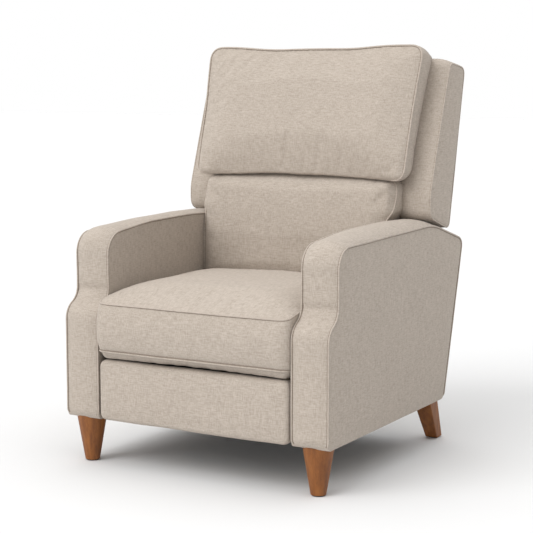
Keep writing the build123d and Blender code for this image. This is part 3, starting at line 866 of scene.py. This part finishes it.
def lumbar_cushion():
    """Its front panel wraps round the sides above the arms, so the side seams swing back there."""
    height = LUMBAR_TOP - LUMBAR_LOW
    outline = rectangle(LUMBAR_HALF, 0.0, height, 0.020, 0.030, 0.006)
    outline[:, 1] += lumbar_crown(outline[:, 0]) * (outline[:, 1] / height) ** 3
    profile = [(1, 0), (0.96, 0.0010), (0.85, 0.0018), (0.5, 0.0022), (0.2, 0.0015), (0, 0)]
    obj, front, _ = padded_mesh(
        "lumbar_cushion_cover", outline, lumbar_place, profile, 0.0075, lumbar_swell, flat)
    inflate(obj, front + rear_half(obj, 0.553), pressure=4, cap=0.006, slack=0.006)
    ripple(obj, 0.10, 0.0018, 6)
    squeeze_between_arms(obj)
    finish_piece(obj, "back", LINEN, ["lumbar_cushion"])
    subdivide(obj)
    welt("lumbar_cushion", [seam_line(obj, front, 0.0006, (0, 0.52 + FRONT_Y, 0.54))], obj, "back")


def squeeze_between_arms(obj):
    """Hold the lumbar cushion between the arms; above them it may spread."""
    for vertex in obj.data.vertices:
        limit = 0.2640 + 0.0155 * float(ease(np.array(vertex.co.z), 0.580, 0.606))
        vertex.co.x = max(-limit, min(limit, vertex.co.x))
    obj.data.update()


def rear_half(obj, y_from):
    """Vertices that rest against the frame behind them."""
    return [v.index for v in obj.data.vertices if v.co.y - FRONT_Y > y_from]


# ---- head pillow
# Y and Z of its lower front seam, its height along the seam plane, and the plane's slope.
PILLOW_FRONT_Y = 0.497
PILLOW_FRONT_Z = 0.689
PILLOW_HEIGHT = 0.333
SLOPE_Y = 0.089 / PILLOW_HEIGHT
SLOPE_Z = 0.321 / PILLOW_HEIGHT


def pillow_outline():
    """Front view: narrower at the foot, with the upper corners and the lower ones drawn out."""
    outline = rectangle(PILLOW_HALF, 0.0, PILLOW_HEIGHT, 0.020, 0.030, 0.0065)
    share = outline[:, 1] / PILLOW_HEIGHT
    across = outline[:, 0] / PILLOW_HALF
    width = 0.962 + 0.038 * share - 0.008 * np.sin(math.pi * share)
    ears = 0.0085 * ease(np.abs(across), 0.25, 0.85) - 0.0055
    feet = 0.0015 - 0.0095 * ease(np.abs(across), 0.2, 0.9)
    outline[:, 0] *= width
    outline[:, 1] += ears * share ** 4 + feet * (1 - share) ** 4
    return outline


def pillow_place(ab, t, h):
    """Points between the back plane and the front seam; the swollen foot sags."""
    s = ab[:, 1]
    front_y = PILLOW_FRONT_Y + s * SLOPE_Y
    front_z = PILLOW_FRONT_Z + s * SLOPE_Z
    back_y = PILLOW_BACK_Y + s * PILLOW_RUN_Y / PILLOW_HEIGHT
    back_z = PILLOW_BACK_Z + s * PILLOW_RUN_Z / PILLOW_HEIGHT
    x = ab[:, 0] * (0.972 + 0.028 * t)
    sag = 0.0050 * (1 - ease(s, 0.0, 0.060)) * np.clip(h / 0.006, 0, 1)
    y = back_y + (front_y - back_y) * t - h * SLOPE_Z
    z = back_z + (front_z - back_z) * t + h * SLOPE_Y - sag
    return np.stack([x, y + FRONT_Y, z], axis=1)


def pillow_swell(points, depth):
    """A crowned front, fuller along the foot."""
    lip = 0.0060 * np.clip(depth / 0.012, 0, 1) * (1 - ease(points[:, 1], 0.0, 0.24))
    return dome(0.017, 0.12, 2.3)(points, depth) + lip


def head_pillow():
    profile = [(1, 0), (0.95, 0.0018), (0.82, 0.0042), (0.5, 0.0060), (0.2, 0.004), (0.05, 0.0015), (0, 0)]
    obj, front, back = padded_mesh(
        "head_pillow_cover", pillow_outline(), pillow_place, profile, 0.0075, pillow_swell, flat)
    behind = [v.index for v in obj.data.vertices if on_back_plane(v.co)]
    inflate(obj, front + back + behind, pressure=4, cap=0.010, slack=0.010)
    ripple(obj, 0.13, 0.0026, 7)
    finish_piece(obj, "back", LINEN, ["head_pillow"])
    subdivide(obj)
    pillow_welts(obj, (front, back))


def pillow_welts(obj, rings):
    """Piping along both seams; the middle of the front's lower seam tucks under the swell."""
    lines = [seam_line(obj, ring, 0.0010, (0, 0.57 + FRONT_Y, 0.85)) for ring in rings]
    seam = lines[0]
    tucked = (1 - ease(np.abs(seam[:, 0]) / PILLOW_HALF, 0.74, 0.92)) * (seam[:, 2] < 0.72)
    seam[:, 1] += 0.009 * tucked
    seam[:, 2] += 0.004 * tucked
    welt("head_pillow", lines, obj, "back", radius=PILLOW_WELT_R)


def on_back_plane(co):
    """Whether a point of the pillow lies on its back panel."""
    plane_y = PILLOW_BACK_Y + (co.z - PILLOW_BACK_Z) * PILLOW_RUN_Y / PILLOW_RUN_Z
    return co.y - FRONT_Y > plane_y - 0.004


# ---- thin cloths
def cloth_sheet(name, node, size, body, z):
    """A stretched cloth that dips slightly between its rails."""
    low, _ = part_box(node)
    width, length = size
    across, along = 40, 34
    deepest = 0.0012
    verts = []
    for j in range(along + 1):
        for i in range(across + 1):
            u, v = i / across, j / along
            dip = deepest * math.sin(math.pi * u) * math.sin(math.pi * v)
            verts.append((low.x + u * width, low.y + v * length, z - dip))
    faces = []
    for j in range(along):
        for i in range(across):
            a = j * (across + 1) + i
            faces.append((a, a + 1, a + across + 2, a + across + 1))
    mesh = bpy.data.meshes.new(name)
    mesh.from_pydata(verts, [], faces)
    mesh.shade_smooth()
    obj = linked_object(name, mesh)
    finish_piece(obj, body, DUST_CLOTH, [node])


# ---- CAD pieces that keep their shape
def dress(names, material):
    for name in names:
        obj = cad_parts[name]
        obj.data.materials.clear()
        obj.data.materials.append(material)


def dress_cad_nodes():
    """Wood, steel and cloth for the nodes that no cover stands for."""
    sides = ("left", "right")
    dress([f"{end}_leg_{s}" for end in ("front", "rear") for s in sides], LEG_WOOD)
    dress(["base_front_rail", "base_rear_rail", "seat_rear_rail"], FRAME_WOOD_X)
    # The seat's front rail alone is near-black; the rest of the frame is raw wood.
    dress(["seat_front_rail"], DARK_WOOD)
    dress(["back_top_rail", "back_bottom_rail", "footrest_board"], FRAME_WOOD_X)
    seat_rails = [f"seat_side_rail_{s}" for s in sides]
    dress(["arm_bottom_rails", "arm_top_rails", *seat_rails], FRAME_WOOD_Y)
    dress(["arm_front_posts", "arm_rear_posts", "back_post_left", "back_post_right"], FRAME_WOOD_Z)
    steel = ["carriage_cross_tube", "footrest_brackets", "back_brackets"]
    steel += [f"{kind}_plate_{s}" for kind in ("base", "seat") for s in sides]
    for kind in ("falling", "rising"):
        steel += [f"scissor_{kind}_bar_{k}_{s}" for k in (1, 2, 3) for s in sides]
    dress(steel, BLACK_STEEL)
    dress(["leg_bolts", "seat_springs"], ZINC)
    dress(["back_webbing"], WEBBING)
    dress(["leg_glides"], GLIDE)


# ---- studio
# Lens and sensor width are millimetres.
LENS = 99.43
SENSOR = 36
CAMERA_AT = (1.8431, -2.8027 + FRONT_Y, 0.9271)
CAMERA_AIM = (-0.0029, 0.350 + FRONT_Y, 0.4642)

# Grey levels of the surroundings near the horizon, above it, and overhead.
HORIZON = (0.50,) * 3
DIM = (0.20,) * 3
OVERHEAD = (0.83,) * 3

SUN_DIRECTION = (0.33, 0.73, -0.57)
SUN_STRENGTH = 1.65
SUN_SPREAD = 45
FLOOR_HALF = 30.0
FLOOR_COLOUR = (0.75, 0.75, 0.75, 1)


def aim(obj, direction):
    """Turn a camera or a light so that it looks along a direction."""
    obj.rotation_euler = direction.to_track_quat("-Z", "Y").to_euler()


def add_camera():
    camera = bpy.data.cameras.new("camera")
    camera.sensor_width = SENSOR
    camera.lens = LENS
    camera.clip_end = 50
    obj = linked_object("camera", camera)
    obj.location = CAMERA_AT
    aim(obj, Vector(CAMERA_AIM) - obj.location)
    bpy.context.scene.camera = obj


def add_surroundings():
    """White near the horizon, dim above it and bright overhead."""
    scene = bpy.context.scene
    scene.view_settings.view_transform = "Standard"
    world = bpy.data.worlds.new("world")
    world.use_nodes = True
    tree = world.node_tree
    split = tree.nodes.new("ShaderNodeSeparateXYZ")
    tree.links.new(tree.nodes.new("ShaderNodeTexCoord").outputs["Generated"], split.inputs[0])
    stops = [(0.0, HORIZON), (0.07, HORIZON), (0.14, DIM), (0.55, DIM), (0.80, OVERHEAD)]
    background = tree.nodes["Background"]
    tree.links.new(ramp_node(tree, split.outputs["Z"], stops), background.inputs["Color"])
    background.inputs["Strength"].default_value = 2.0
    scene.world = world


def add_key_light():
    light = bpy.data.lights.new("key", "SUN")
    light.energy = SUN_STRENGTH
    light.angle = math.radians(SUN_SPREAD)
    aim(linked_object("key", light), Vector(SUN_DIRECTION))


def add_floor():
    mesh = bpy.data.meshes.new("floor")
    size = FLOOR_HALF
    corners = [(-size, -size, 0), (size, -size, 0), (size, size, 0), (-size, size, 0)]
    mesh.from_pydata(corners, [], [(0, 1, 2, 3)])
    floor = linked_object("floor", mesh)
    material, _, shader = node_material("floor")
    shader.inputs["Base Color"].default_value = FLOOR_COLOUR
    shader.inputs["Roughness"].default_value = 0.9
    mesh.materials.append(material)


for side_name, side_sign in (("left", -1), ("right", 1)):
    arm(side_name, side_sign)
seat_cushion()
soft_board(
    "footrest_cover", half=0.2610, z_low=0.1140, z_high=0.2605, y_front=-0.008, y_rear=0.028,
    radius=0.012, crown=0.005, body="footrest", node="footrest_pad", face=-1)
soft_board(
    "rear_skirt_cover", half=0.2632, z_low=0.1185, z_high=0.2395, y_front=0.622, y_rear=0.6355,
    radius=0.005, crown=0.002, body="base", node="rear_skirt", face=1)
back_cover()
lower_back()
outer_back()
lumbar_cushion()
head_pillow()
cloth_sheet(
    "dust_cover_cloth", "dust_cover", DUST_COVER_FLAT, body="base", z=0.1175)
cloth_sheet(
    "seat_deck", "seat_deck_cloth", SEAT_DECK_FLAT, body="seat", z=0.2634)
dress_cad_nodes()
add_camera()
add_surroundings()
add_key_light()
add_floor()
